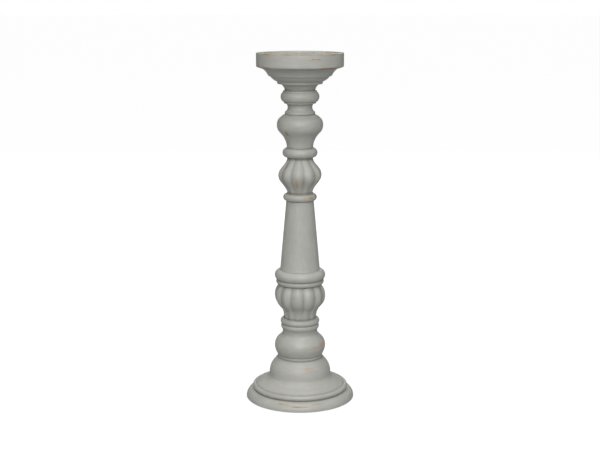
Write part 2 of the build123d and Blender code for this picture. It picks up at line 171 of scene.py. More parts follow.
def even_points(points, step):
    """The outline's points spaced evenly, and the distance along it of each."""
    path = np.array(points, float)
    path = path[np.r_[True, np.linalg.norm(np.diff(path, axis=0), axis=1) > 1e-9]]
    along = np.r_[0, np.cumsum(np.linalg.norm(np.diff(path, axis=0), axis=1))]
    stations = np.linspace(0, along[-1], max(3, ceil(along[-1] / step)))
    even = np.stack([np.interp(stations, along, path[:, axis]) for axis in (0, 1)], axis=1)
    return even, stations


def smoothed(values, reach):
    """Gaussian average along the first axis, its ends held."""
    steps = np.arange(-ceil(3 * reach), ceil(3 * reach) + 1)
    weights = np.exp(-0.5 * (steps / reach) ** 2)
    weights /= weights.sum()
    padded = np.pad(values, [(len(steps) // 2,) * 2] + [(0, 0)] * (values.ndim - 1), mode="edge")
    columns = padded.reshape(len(padded), -1).T
    rows = [np.convolve(column, weights, mode="valid") for column in columns]
    return np.array(rows).T.reshape(values.shape)


def turn_over(heading, reach):
    """How far the outline turns over a stretch round each point, in quarter turns."""
    steps = int(reach / FINE_STEP)
    ahead = np.pad(heading, steps, mode="edge")
    return (ahead[2 * steps :] - ahead[: -2 * steps]) / (pi / 2)


def softened(points):
    """Even points with rounded corners, and how sharp an edge or crevice each one is on."""
    path, stations = even_points(points, FINE_STEP)
    soft = smoothed(path, PAINT_SOFTENING / FINE_STEP)
    soft[0], soft[-1] = path[0], path[-1]
    soft[:, 0] = np.maximum(soft[:, 0], 0)
    soft[0, 0] = soft[-1, 0] = 0
    heading = np.unwrap(np.arctan2(*np.gradient(soft, axis=0).T[::-1]))
    sharp, wide = (turn_over(heading, reach) for reach in (EDGE_REACH, HOLLOW_REACH))
    edge = np.clip(sharp, 0, 1)
    crevice = np.maximum(np.clip(-sharp, 0, 1), 0.7 * np.clip(-wide, 0, 1))
    keep, last_heading, last_station = [0], heading[0], 0.0
    for i in range(1, len(soft) - 1):
        turned = abs(heading[i] - last_heading) > TURN_LIMIT
        if turned or stations[i] - last_station > REACH_LIMIT:
            keep.append(i)
            last_heading, last_station = heading[i], stations[i]
    keep.append(len(soft) - 1)
    return soft[keep], edge[keep], crevice[keep]


# ======================================================================================
# Node helpers
# ======================================================================================


def add(tree, kind, values=None, **settings):
    """A new node with its settings; an input that is given a socket is linked to it."""
    made = tree.nodes.new(kind)
    for name, value in settings.items():
        setattr(made, name, value)
    for key, value in (values or {}).items():
        if isinstance(value, bpy.types.NodeSocket):
            tree.links.new(value, made.inputs[key])
        else:
            made.inputs[key].default_value = value
    return made


def maths(tree, operation, *values):
    return add(tree, "ShaderNodeMath", dict(enumerate(values)), operation=operation).outputs[0]


def between(tree, value, low, high, to_low=0.0, to_high=1.0):
    """A soft step of value from low to high."""
    ranges = {0: value, 1: low, 2: high, 3: to_low, 4: to_high}
    return add(tree, "ShaderNodeMapRange", ranges, interpolation_type="SMOOTHSTEP").outputs[0]


def blend(tree, factor, first, second):
    """A colour between two colours."""
    made = add(tree, "ShaderNodeMix", {0: factor, 6: first, 7: second}, data_type="RGBA")
    return made.outputs[2]


def noise(tree, vector, scale, detail=2.0, roughness=0.5, seed=None):
    values = {"Vector": vector, "Scale": scale, "Detail": detail, "Roughness": roughness}
    if seed is not None:
        values["W"] = seed
    kind = "3D" if seed is None else "4D"
    return add(tree, "ShaderNodeTexNoise", values, noise_dimensions=kind).outputs[0]


def vector_maths(tree, operation, *values):
    return add(tree, "ShaderNodeVectorMath", dict(enumerate(values)), operation=operation).outputs[0]


def scaled(tree, vector, length):
    values = {0: vector, "Scale": length}
    return add(tree, "ShaderNodeVectorMath", values, operation="SCALE").outputs[0]


def distance_from_axis(tree, place):
    """The flat part of a place, and how far it is from the axis."""
    flat = add(tree, "ShaderNodeCombineXYZ", {0: place[0], 1: place[1], 2: 0.0}).outputs[0]
    return flat, add(tree, "ShaderNodeVectorMath", {0: flat}, operation="LENGTH").outputs["Value"]


def turn_from_front(tree, place):
    """Angle of a place round the axis, 0 at the front."""
    return maths(tree, "ARCTAN2", place[0], maths(tree, "MULTIPLY", place[1], -1))


def grouped(tree, group, values):
    """A shader group placed in a material with its own values."""
    return add(tree, "ShaderNodeGroup", values, node_tree=group).outputs


def new_tree(name, kind, inputs, outputs):
    """A node group, with its input sockets and the sockets of its output node."""
    tree = bpy.data.node_groups.new(name, kind)
    for label, socket_type, default in inputs:
        socket = tree.interface.new_socket(label, in_out="INPUT", socket_type=socket_type)
        if default is not None:
            socket.default_value = default
    for label, socket_type in outputs:
        tree.interface.new_socket(label, in_out="OUTPUT", socket_type=socket_type)
    return tree, tree.nodes.new("NodeGroupInput").outputs, tree.nodes.new("NodeGroupOutput").inputs


# ======================================================================================
# The lathe: turns an outline about the axis, carves its lobes and wears its edges
# ======================================================================================


def lathe_tree():
    """Wraps a sheet round the axis along an outline whose points carry groove, edge and crevice."""
    inputs = [
        ("Outline", "NodeSocketGeometry", None),
        ("Segments", "NodeSocketInt", 192),
        ("Lobes", "NodeSocketInt", 0),
        ("First Groove", "NodeSocketFloat", 0.0),
        ("Lobe Fullness", "NodeSocketFloat", 1.65),
        ("Groove Softness", "NodeSocketFloat", 0.14),
        ("Wear", "NodeSocketFloat", 0.3),
        ("Chip Depth", "NodeSocketFloat", CHIP_DEPTH),
        ("Wobble", "NodeSocketFloat", WOBBLE),
        ("Seed", "NodeSocketFloat", 0.0),
        ("Finish", "NodeSocketMaterial", None),
    ]
    tree, given, result = new_tree("Lathe", "GeometryNodeTree", inputs, [("Turning", "NodeSocketGeometry")])
    outline = given["Outline"]
    count = add(tree, "GeometryNodeAttributeDomainSize", {0: outline}).outputs["Point Count"]
    columns = maths(tree, "ADD", given["Segments"], 1)
    sizes = {"Size X": 1.0, "Size Y": 1.0, "Vertices X": columns, "Vertices Y": count}
    sheet = add(tree, "GeometryNodeMeshGrid", sizes).outputs[0]

    # each point of the sheet knows its step round the axis and its place on the outline
    position = add(tree, "GeometryNodeInputPosition").outputs[0]
    place = add(tree, "ShaderNodeSeparateXYZ", {0: position}).outputs
    round_share = maths(tree, "ADD", place[0], 0.5)
    steps = maths(tree, "SUBTRACT", count, 1)
    row = maths(tree, "ROUND", maths(tree, "MULTIPLY", maths(tree, "ADD", place[1], 0.5), steps))

    def sampled(socket, data_type):
        values = {0: outline, "Value": socket, "Index": row}
        return add(tree, "GeometryNodeSampleIndex", values, data_type=data_type).outputs[0]

    def stored(label):
        name = add(tree, "GeometryNodeInputNamedAttribute", {"Name": label}, data_type="FLOAT")
        return sampled(name.outputs[0], "FLOAT")

    profile = add(tree, "ShaderNodeSeparateXYZ", {0: sampled(position, "FLOAT_VECTOR")}).outputs
    groove, edge, crevice = stored("groove"), stored("edge"), stored("crevice")

    # across a lobe, 0 at its crest and 1 in the grooves beside it
    angle = maths(tree, "MULTIPLY", round_share, tau)
    turns = maths(tree, "DIVIDE", maths(tree, "SUBTRACT", angle, given["First Groove"]), tau)
    wave = maths(tree, "FRACT", maths(tree, "MULTIPLY", turns, given["Lobes"]))
    across = maths(tree, "ABSOLUTE", maths(tree, "MULTIPLY_ADD", wave, 2, -1))
    gap = maths(tree, "SUBTRACT", 1, across)
    soft = given["Groove Softness"]
    eased = maths(tree, "SQRT", maths(tree, "MULTIPLY_ADD", gap, gap, maths(tree, "MULTIPLY", soft, soft)))
    fall = maths(tree, "SUBTRACT", maths(tree, "ADD", 1, soft), eased)
    sunk = maths(tree, "POWER", maths(tree, "MAXIMUM", fall, 0), given["Lobe Fullness"])
    radius = maths(tree, "SUBTRACT", profile[0], maths(tree, "MULTIPLY", sunk, groove))
    x = maths(tree, "MULTIPLY", radius, maths(tree, "COSINE", angle))
    y = maths(tree, "MULTIPLY", radius, maths(tree, "SINE", angle))
    turned = add(tree, "ShaderNodeCombineXYZ", {0: x, 1: y, 2: profile[2]}).outputs[0]

    # wear comes in long uneven patches where the edge is sharp
    lengthened = vector_maths(tree, "MULTIPLY", turned, (1, 1, 1.6))
    patches = noise(tree, lengthened, 42.0, 2.0, 0.55, given["Seed"])
    reach = maths(tree, "MULTIPLY_ADD", given["Wear"], 0.5, maths(tree, "SUBTRACT", patches, 0.72))
    wear = maths(tree, "MULTIPLY", between(tree, edge, 0.08, 0.7), between(tree, reach, 0.0, 0.22))
    # grooves and crevices are marked hollow for dark glaze and painted shade, darker the deeper the groove
    depth = maths(tree, "MINIMUM", maths(tree, "MULTIPLY", groove, 1 / FULL_GROOVE), 1)
    groove_line = maths(tree, "MULTIPLY", between(tree, across, 0.45, 1.05, 0, 0.55), depth)
    hollow = maths(tree, "MAXIMUM", crevice, groove_line)

    shape = sheet
    for label, value in (("wear", wear), ("hollow", hollow)):
        values = {0: shape, "Name": label, "Value": value}
        kept = {"data_type": "FLOAT", "domain": "POINT"}
        shape = add(tree, "GeometryNodeStoreNamedAttribute", values, **kept).outputs[0]
    shape = add(tree, "GeometryNodeSetPosition", {0: shape, "Position": turned}).outputs[0]
    shape = add(tree, "GeometryNodeMergeByDistance", {0: shape, "Distance": SEAM_REACH}).outputs[0]

    # sanding and wear only take wood away, so the surface moves inwards
    waves = noise(tree, position, 38.0, 1.0, 0.4, maths(tree, "ADD", given["Seed"], 7))
    worn = add(tree, "GeometryNodeInputNamedAttribute", {"Name": "wear"}, data_type="FLOAT").outputs[0]
    sanded = maths(tree, "MULTIPLY", maths(tree, "MULTIPLY", waves, given["Wobble"]), -1)
    chipped = maths(tree, "MULTIPLY", maths(tree, "MULTIPLY", worn, given["Chip Depth"]), -1)
    normal = add(tree, "GeometryNodeInputNormal").outputs[0]
    inward = scaled(tree, normal, maths(tree, "ADD", sanded, chipped))
    shape = add(tree, "GeometryNodeSetPosition", {0: shape, "Offset": inward}).outputs[0]
    shape = add(tree, "GeometryNodeSetShadeSmooth", {0: shape}).outputs[0]
    shape = add(tree, "GeometryNodeRealizeInstances", {0: shape}).outputs[0]
    painted = add(tree, "GeometryNodeSetMaterial", {0: shape, "Material": given["Finish"]}).outputs[0]
    tree.links.new(painted, result[0])
    return tree


LATHE = lathe_tree()


def turn(
    name, node, points, finish, groove=None, slot="painted_wood", joints=(0.6, 0.6), crevice_glaze_and_shade=1.0, **settings
):
    """Turns an outline into a finished piece that stands for a node.

    joints says how strongly glaze and painted shade show in the crevice where it meets the piece below and
    the one above, and its crevice share how much glaze and painted shade stay in its own crevices.
    """
    path, edge, crevice = softened(points)
    # glaze and painted shade in the piece's own crevices and along its joints
    crevice = crevice * crevice_glaze_and_shade
    for end, joint in zip(span(node)[:2], joints):
        near = joint * np.clip(1 - np.abs(path[:, 1] - end) / JOINT_REACH, 0, 1)
        crevice = np.maximum(crevice, near)
        edge = edge * (1 - near)
    mesh = bpy.data.meshes.new(name + "_outline")
    count = len(path)
    mesh.from_pydata([(r, 0, z) for r, z in path], [(i, i + 1) for i in range(count - 1)], [])
    depths = [groove(r, z) if groove else 0.0 for r, z in path]
    for label, values in (("groove", depths), ("edge", edge), ("crevice", crevice)):
        stored = mesh.attributes.new(label, "FLOAT", "POINT")
        stored.data.foreach_set("value", np.array(values, np.float32))
    outline = bpy.data.objects.new(name + "_outline", mesh)
    bpy.context.scene.collection.objects.link(outline)
    lathe = outline.modifiers.new("Lathe", "NODES")
    lathe.node_group = LATHE
    identifiers = {item.name: item.identifier for item in LATHE.interface.items_tree}
    for label, value in {"Finish": finish, **settings}.items():
        lathe[identifiers[label]] = value
    evaluated = outline.evaluated_get(bpy.context.evaluated_depsgraph_get())
    shaped = bpy.data.meshes.new_from_object(evaluated)
    bpy.data.objects.remove(outline)
    facing_out(shaped)
    piece = bpy.data.objects.new(name, shaped)
    bpy.context.scene.collection.objects.link(piece)
    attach(piece, "root")
    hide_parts(node)


def facing_out(mesh):
    """Turns a closed mesh's faces outwards if its volume comes out negative."""
    mesh.calc_loop_triangles()
    corners = np.array([v.co for v in mesh.vertices])[[t.vertices[:] for t in mesh.loop_triangles]]
    volume = np.einsum("ij,ij->i", corners[:, 0], np.cross(corners[:, 1], corners[:, 2])).sum()
    if volume < 0:
        mesh.flip_normals()


# ======================================================================================
# Shader groups
# ======================================================================================


def streaks_group():
    """Long thin marks, round the axis or along it."""
    inputs = [
        ("Vector", "NodeSocketVector", None),
        ("Fineness", "NodeSocketFloat", 700.0),
        ("Count Round", "NodeSocketFloat", 4.0),
        ("Lengthwise", "NodeSocketFloat", 0.0),
        ("Seed", "NodeSocketFloat", 0.0),
    ]
    tree, given, result = new_tree("Streaks", "ShaderNodeTree", inputs, [("Marks", "NodeSocketFloat")])
    fineness = given["Fineness"]
    place = add(tree, "ShaderNodeSeparateXYZ", {0: given["Vector"]}).outputs
    flat, radius = distance_from_axis(tree, place)
    turned = scaled(tree, vector_maths(tree, "NORMALIZE", flat), given["Count Round"])
    lift = add(tree, "ShaderNodeCombineXYZ", {2: maths(tree, "MULTIPLY", place[2], fineness)}).outputs[0]
    rings_at = vector_maths(tree, "ADD", turned, lift)
    depth = maths(tree, "MULTIPLY_ADD", radius, fineness, given["Seed"])
    rings = noise(tree, rings_at, 1.0, 3.0, 0.6, depth)
    stretch = add(tree, "ShaderNodeCombineXYZ", {0: fineness, 1: fineness, 2: 60.0}).outputs[0]
    along_at = vector_maths(tree, "MULTIPLY", given["Vector"], stretch)
    along = noise(tree, along_at, 1.0, 3.0, 0.6, given["Seed"])
    mixed = add(tree, "ShaderNodeMix", {0: given["Lengthwise"], 2: rings, 3: along}).outputs[0]
    tree.links.new(mixed, result[0])
    return tree


def bare_wood_group():
    """Brown wood that shows where the paint has rubbed away."""
    inputs = [
        ("Vector", "NodeSocketVector", None),
        ("Pale", "NodeSocketColor", (0.46, 0.345, 0.225, 1)),
        ("Deep", "NodeSocketColor", (0.35, 0.145, 0.04, 1)),
    ]
    outputs = [("Color", "NodeSocketColor"), ("Grain", "NodeSocketFloat")]
    tree, given, result = new_tree("Bare Wood", "ShaderNodeTree", inputs, outputs)
    stretched = vector_maths(tree, "MULTIPLY", given["Vector"], (1, 1, 0.09))
    grain = noise(tree, stretched, 620.0, 4.0, 0.6)
    broad = noise(tree, stretched, 85.0, 2.0, 0.5)
    tone = maths(tree, "MULTIPLY_ADD", grain, 0.45, maths(tree, "MULTIPLY", broad, 0.75))
    colour = blend(tree, between(tree, tone, 0.42, 0.78), given["Pale"], given["Deep"])
    tree.links.new(colour, result[0])
    tree.links.new(grain, result[1])
    return tree


def rub_mark_group(streaks):
    """One rubbed place: an oval at a height and a turn from the front, broken into streaks."""
    inputs = [
        ("Vector", "NodeSocketVector", None),
        ("Height", "NodeSocketFloat", 0.1),
        ("Turn", "NodeSocketFloat", 0.0),
        ("Rise", "NodeSocketFloat", 0.002),
        ("Sweep", "NodeSocketFloat", 0.01),
        ("Strength", "NodeSocketFloat", 1.0),
        ("Lengthwise", "NodeSocketFloat", 0.0),
    ]
    tree, given, result = new_tree("Rub Mark", "ShaderNodeTree", inputs, [("Mask", "NodeSocketFloat")])
    place = add(tree, "ShaderNodeSeparateXYZ", {0: given["Vector"]}).outputs
    angle = maths(tree, "SUBTRACT", turn_from_front(tree, place), given["Turn"])
    radius = distance_from_axis(tree, place)[1]
    across = maths(tree, "DIVIDE", maths(tree, "MULTIPLY", angle, radius), given["Sweep"])
    up = maths(tree, "DIVIDE", maths(tree, "SUBTRACT", place[2], given["Height"]), given["Rise"])
    spread = maths(tree, "MULTIPLY_ADD", across, across, maths(tree, "MULTIPLY", up, up))
    near = maths(tree, "EXPONENT", maths(tree, "MULTIPLY", spread, -1))
    values = {"Vector": given["Vector"], "Fineness": 900.0, "Lengthwise": given["Lengthwise"]}
    marks = grouped(tree, streaks, values)[0]
    ragged = maths(tree, "ADD", near, maths(tree, "MULTIPLY_ADD", marks, 1.1, -0.55))
    pits = noise(tree, given["Vector"], 2400.0, 2.0, 0.6)
    pitted = between(tree, pits, 0.3, 0.5, 0.6, 1.0)
    core = maths(tree, "MULTIPLY", between(tree, ragged, 0.34, 0.52), pitted)
    halo = between(tree, ragged, 0.0, 0.5, 0.0, 0.35)
    mask = maths(tree, "MAXIMUM", core, halo)
    tree.links.new(maths(tree, "MULTIPLY", mask, given["Strength"]), result[0])
    return tree


def scattered_rubs_group():
    """Sparse small rubs round the sides and back."""
    inputs = [("Vector", "NodeSocketVector", None), ("Seed", "NodeSocketFloat", 0.0)]
    outputs = [("Mask", "NodeSocketFloat")]
    tree, given, result = new_tree("Scattered Rubs", "ShaderNodeTree", inputs, outputs)
    place = add(tree, "ShaderNodeSeparateXYZ", {0: given["Vector"]}).outputs
    turn_away = maths(tree, "ABSOLUTE", turn_from_front(tree, place))
    sides = between(tree, turn_away, radians(62), radians(80))
    wide = vector_maths(tree, "MULTIPLY", given["Vector"], (1, 1, 5))
    spots = noise(tree, wide, 38.0, 2.0, 0.6, given["Seed"])
    thin = vector_maths(tree, "MULTIPLY", given["Vector"], (1, 1, 9))
    scratches = noise(tree, thin, 260.0, 3.0, 0.65, given["Seed"])
    level = maths(tree, "MULTIPLY_ADD", scratches, 0.35, spots)
    tree.links.new(maths(tree, "MULTIPLY", between(tree, level, 0.86, 0.96), sides), result[0])
    return tree


def crevice_glaze_and_shade_group():
    """Dark glaze and painted shade in the grooves and crevices, where shade falls."""
    inputs = [("Vector", "NodeSocketVector", None), ("Hollow", "NodeSocketFloat", 0.0)]
    tree, given, result = new_tree("Crevice Glaze and Shade", "ShaderNodeTree", inputs, [("Mask", "NodeSocketFloat")])
    cloudy = noise(tree, given["Vector"], 160.0, 3.0, 0.6)
    level = maths(tree, "MULTIPLY", given["Hollow"], maths(tree, "MULTIPLY_ADD", cloudy, 0.9, 0.55))
    tree.links.new(between(tree, level, 0.08, 0.85), result[0])
    return tree


STREAKS = streaks_group()
BARE_WOOD = bare_wood_group()
RUB_MARK = rub_mark_group(STREAKS)
SCATTERED_RUBS = scattered_rubs_group()
CREVICE_GLAZE_AND_SHADE = crevice_glaze_and_shade_group()


def new_material(name, **values):
    """A material whose even values are set on the Principled shader itself."""
    made = bpy.data.materials.new(name)
    made.use_nodes = True
    tree = made.node_tree
    shader = next(n for n in tree.nodes if n.type == "BSDF_PRINCIPLED")
    for key, value in values.items():
        shader.inputs[key.replace("_", " ")].default_value = value
    place = add(tree, "ShaderNodeTexCoord").outputs["Object"]
    return made, tree, shader, place


# ======================================================================================
# Materials
# ======================================================================================

PAINT = (0.384, 0.390, 0.358, 1)
PAINT_PALE = (0.436, 0.440, 0.402, 1)
# dark glaze colour, also painted shade darkening the hollows
GLAZE_AND_SHADE = (0.150, 0.148, 0.128, 1)
PRIMER = (0.47, 0.30, 0.225, 1)
BEECH_PALE = (0.64, 0.46, 0.29, 1)
BEECH_DEEP = (0.50, 0.31, 0.16, 1)
ZINC_DULL = (0.55, 0.56, 0.55, 1)
ZINC_BRIGHT = (0.70, 0.70, 0.68, 1)
FELT_DARK = (0.045, 0.042, 0.038, 1)
FELT_PALE = (0.11, 0.105, 0.095, 1)


def rub(height, degrees, rise, sweep, strength=1.0, upright=0.0):
    """One rub mark, degrees from the front, its half height and half width in mm.

    upright is 1 where its streaks run up and down, and 0 where they run round.
    """
    return {
        "Height": height,
        "Turn": radians(degrees),
        "Rise": rise * MM,
        "Sweep": sweep * MM,
        "Strength": strength,
        "Lengthwise": upright,
    }


def rubbed(tree, place, rubs):
    """The mask of each rub mark."""
    for values in rubs:
        yield grouped(tree, RUB_MARK, {"Vector": place, **values})[0]


def painted_wood(name, lengthwise, to_wood=(), to_primer=()):
    """Satin grey paint over brown wood, brushed round the turning or along it.

    to_wood are the rub marks that reach the wood, and to_primer those that stop at the primer.
    """
    made, tree, shader, place = new_material("painted_" + name, Roughness=0.5)
    shader.inputs["Specular IOR Level"].default_value = 0.5
    brush = grouped(tree, STREAKS, {"Vector": place, "Lengthwise": lengthwise})[0]
    coarse = {"Vector": place, "Fineness": 150.0, "Count Round": 2.0, "Lengthwise": lengthwise}
    broad = grouped(tree, STREAKS, coarse)[0]
    mottle = noise(tree, place, 55.0, 3.0, 0.55)
    tone = maths(tree, "MULTIPLY_ADD", brush, 0.35, maths(tree, "MULTIPLY", broad, 0.35))
    tone = maths(tree, "MULTIPLY_ADD", mottle, 0.3, tone)
    colour = blend(tree, between(tree, tone, 0.38, 0.62), PAINT, PAINT_PALE)

    # crevices, grooves and joints get dark glaze and painted shade, darker where shade falls
    hollow = add(tree, "ShaderNodeAttribute", attribute_name="hollow").outputs["Fac"]
    glaze_and_shade = grouped(tree, CREVICE_GLAZE_AND_SHADE, {"Vector": place, "Hollow": hollow})[0]
    colour = blend(tree, maths(tree, "MULTIPLY", glaze_and_shade, 0.62), colour, GLAZE_AND_SHADE)

    wear = add(tree, "ShaderNodeAttribute", attribute_name="wear").outputs["Fac"]
    wood = grouped(tree, BARE_WOOD, {"Vector": place})
    ragged = maths(tree, "ADD", wear, maths(tree, "MULTIPLY_ADD", brush, 0.6, -0.3))
    bare = between(tree, ragged, 0.18, 0.75)
    scattered = grouped(tree, SCATTERED_RUBS, {"Vector": place, "Seed": float(len(name))})[0]
    bare = maths(tree, "MAXIMUM", bare, maths(tree, "MULTIPLY", scattered, 0.8))
    for mark in rubbed(tree, place, to_wood):
        bare = maths(tree, "MAXIMUM", bare, mark)
    for mark in rubbed(tree, place, to_primer):
        colour = blend(tree, maths(tree, "MULTIPLY", mark, 0.8), colour, PRIMER)
    colour = blend(tree, maths(tree, "MULTIPLY", bare, 0.85), colour, wood[0])
    tree.links.new(colour, shader.inputs["Base Color"])

    gloss = maths(tree, "MULTIPLY_ADD", brush, 0.14, 0.36)
    rough = add(tree, "ShaderNodeMix", {0: bare, 2: gloss, 3: 0.68}).outputs[0]
    rough = maths(tree, "MULTIPLY_ADD", glaze_and_shade, 0.15, rough)
    tree.links.new(rough, shader.inputs["Roughness"])

    pores = noise(tree, vector_maths(tree, "MULTIPLY", place, (1, 1, 0.06)), 1500.0, 2.0, 0.5)
    relief = maths(tree, "MULTIPLY_ADD", brush, 0.5, maths(tree, "MULTIPLY", pores, 0.25))
    relief = maths(tree, "SUBTRACT", relief, maths(tree, "MULTIPLY", bare, 0.9))
    bump = add(tree, "ShaderNodeBump", {"Height": relief, "Distance": 0.11 * MM, "Strength": 0.7})
    tree.links.new(bump.outputs[0], shader.inputs["Normal"])
    return made


def beech():
    """Bare fluted dowels."""
    made, tree, shader, place = new_material("bare_beech", Roughness=0.6)
    wood = grouped(tree, BARE_WOOD, {"Vector": place, "Pale": BEECH_PALE, "Deep": BEECH_DEEP})
    tree.links.new(wood[0], shader.inputs["Base Color"])
    tree.links.new(between(tree, wood[1], 0.2, 0.8, 0.5, 0.7), shader.inputs["Roughness"])
    bump = add(tree, "ShaderNodeBump", {"Height": wood[1], "Distance": 0.05 * MM, "Strength": 0.5})
    tree.links.new(bump.outputs[0], shader.inputs["Normal"])
    return made


def zinc_steel():
    """Zinc-plated screws and washer."""
    made, tree, shader, place = new_material("zinc_steel", Metallic=1.0, Roughness=0.35)
    spangle = noise(tree, place, 900.0, 3.0, 0.6)
    colour = blend(tree, between(tree, spangle, 0.35, 0.7), ZINC_DULL, ZINC_BRIGHT)
    tree.links.new(colour, shader.inputs["Base Color"])
    tree.links.new(between(tree, spangle, 0.3, 0.7, 0.28, 0.46), shader.inputs["Roughness"])
    return made


def wool_felt():
    """Dense dark felt under the foot."""
    made, tree, shader, place = new_material("wool_felt", Roughness=0.95)
    shader.inputs["Sheen Weight"].default_value = 0.3
    fibres = noise(tree, place, 1400.0, 4.0, 0.7)
    clumps = noise(tree, place, 260.0, 2.0, 0.5)
    tone = maths(tree, "MULTIPLY_ADD", fibres, 0.6, maths(tree, "MULTIPLY", clumps, 0.4))
    colour = blend(tree, between(tree, tone, 0.35, 0.65), FELT_DARK, FELT_PALE)
    tree.links.new(colour, shader.inputs["Base Color"])
    bump = add(tree, "ShaderNodeBump", {"Height": tone, "Distance": 0.3 * MM, "Strength": 0.8})
    tree.links.new(bump.outputs[0], shader.inputs["Normal"])
    return made


# ======================================================================================
# The pieces, from the foot up
# ======================================================================================

UPRIGHT = (0, 1)         # direction of an outline that runs straight up
CLEARANCE = 0.1 * MM     # round a dowel in its bore
GLUE_GAP = 1.0 * MM      # past the end of a dowel in its bore
BULB_EDGE = 0.1 * MM     # the carving runs this far past each end of a bulb


def dowel_bore(dowel, upward):
    """Radius and end of the blind bore that holds one end of a dowel."""
    low, high, radius = span(dowel)
    return radius + CLEARANCE, high + GLUE_GAP if upward else low - GLUE_GAP


def from_front(degrees):
    """The lathe's angle of a place that many degrees to the right of the front."""
    return radians(degrees - 90)


def lobe_depth(low, high, least_r, depths):
    """How deep the grooves of a bulb are at each place on it.

    depths gives a depth in mm for each share of the way down from high to low.
    """
    shares, deep = zip(*depths)

    def groove(radius, height):
        on_bulb = low - BULB_EDGE < height < high + BULB_EDGE and radius > least_r
        return float(np.interp((high - height) / (high - low), shares, deep)) * MM if on_bulb else 0.0

    return groove


def felt_disc():
    foot, top, radius = span("felt_disc")
    out = Outline(foot, radius - 0.3 * MM)
    out.round((radius, (foot + top) / 2), radius - 0.3 * MM, top)
    turn(
        "felt_pad", "felt_disc", out.close(top), wool_felt(), slot="felt", joints=(0, 0),
        Segments=WIDE_ROUND, Wobble=0.2 * MM, Seed=1.0,
    )


def foot_plinth():
    foot, top, radius = span("foot_plinth")
    out = Outline(foot, radius)
    out.line(radius, foot + 1.0 * MM)
    out.round((radius - 2.8 * MM, foot + 0.66 * (top - foot)), 61.6 * MM, top - 0.3 * MM)
    out.line(59.9 * MM, top)
    rubs = [
        rub(0.0078, 0, 0.7, 10),
        rub(0.0096, -18, 0.6, 8, 0.9),
        rub(0.0097, 19, 0.6, 8, 0.6),
        rub(0.0083, -12, 0.4, 14, 0.5),
    ]
    turn(
        "foot_moulding", "foot_plinth", out.close(top), painted_wood("foot", 0.0, rubs),
        joints=(0, 0.2), Segments=WIDE_ROUND, Wear=0.28, Seed=3.0,
    )


def bell_base():
    foot, top, _ = span("bell_base")
    crease, waist = foot + 6.1 * MM, foot + 21.2 * MM
    dome_top = top - 4.5 * MM
    head_low, _, washer_r = span("stem_washer")
    out = Outline(foot, 60.4 * MM, (washer_r + 0.5 * MM, head_low + 2 * MM))
    out.line(61.6 * MM, foot + 0.5 * MM)
    out.round((63.2 * MM, foot + 3.3 * MM), 61.4 * MM, foot + 6.1 * MM)
    out.line(60.4 * MM, foot + 6.7 * MM)
    out.line(58.9 * MM, crease)
    flare = [(54, 0.21), (49, 0.39), (44, 0.62)]
    out.swell(flare, 40.7 * MM, waist, (-1, 0.5), UPRIGHT)
    dome = [(37.9, 0.552), (33.7, 0.828)]
    out.swell(dome, 30.2 * MM, dome_top, UPRIGHT, (-1, 0.8))
    out.line(29.2 * MM, top - 3.9 * MM)
    out.bead(29.7 * MM, 29.2 * MM, top)
    rubs = [rub(0.0480, 15, 0.7, 8, 1.1), rub(0.0447, 17, 0.6, 8, 0.8)]
    turn(
        "bell_turning", "bell_base", out.close(top), painted_wood("bell", 0.0, to_primer=rubs),
        joints=(0.2, 0.7), Segments=WIDE_ROUND, Wear=0.16, Seed=11.0,
    )


def ball_knop():
    foot, top, _ = span("ball_knop")
    ring = top - 7.4 * MM
    neck = ring - 3.5 * MM
    out = Outline(foot, 29.9 * MM)
    ball = [(33.6, 0.38), (30.0, 0.714), (24.7, 0.878)]
    out.swell(ball, 22.9 * MM, neck, (0.55, 1), UPRIGHT)
    out.line(23.2 * MM, ring)
    out.bead(25.2 * MM, 24.2 * MM, top)
    points = out.close(top, dowel_bore("melon_dowel", upward=False))
    rubs = [rub(0.0738, 40, 1.0, 10), rub(0.0752, 60, 2.6, 4.5)]
    finish = painted_wood("ball", 0.0, to_primer=rubs)
    turn("ball_turning", "ball_knop", points, finish, Segments=192, Wear=0.1, Seed=5.0)


def lower_melon():
    foot, top, _ = span("lower_melon")
    ring_top = foot + 7.7 * MM
    out = Outline(foot, 24.2 * MM, dowel_bore("melon_dowel", upward=True))
    out.bead(25.8 * MM, 21.8 * MM, ring_top)
    out.line(21.5 * MM, ring_top)
    rise = top - ring_top
    crests = [
        (0.893, 21.9), (0.805, 22.9), (0.695, 25.6), (0.585, 30.0), (0.473, 32.7),
        (0.33, 33.7), (0.187, 32.9), (0.079, 30.6), (0.0, 28.0),
    ]
    out.curve([(r * MM, top - share * rise) for share, r in crests], UPRIGHT, (-0.6, 1))
    points = out.close(top, dowel_bore("collar_dowel", upward=False))
    depths = [
        (0.0, 1.8), (0.079, 2.3), (0.187, 2.5), (0.33, 2.5), (0.473, 2.4),
        (0.585, 2.3), (0.695, 2.0), (0.805, 1.6), (0.893, 1.3), (1.0, 1.1),
    ]
    groove = lobe_depth(ring_top, top, 19 * MM, depths)
    carved = {"Lobes": 12, "First Groove": from_front(8.2), "Segments": 12 * 24}
    finish = painted_wood("lower_melon", 0.7)
    turn("lower_melon_carving", "lower_melon", points, finish, groove, Wear=0.1, Seed=21.0, **carved)


def shaft_collar():
    foot, top, _ = span("shaft_collar")
    out = Outline(foot, 28.4 * MM)
    out.bead(31.5 * MM, 30.4 * MM, foot + 6.6 * MM)
    out.bead(33.35 * MM, 27.0 * MM, top)
    turn(
        "collar_turning", "shaft_collar", out.close(top), painted_wood("collar", 0.0),
        joints=(0.8, 0.1), Wear=0.12, Seed=31.0,
    )


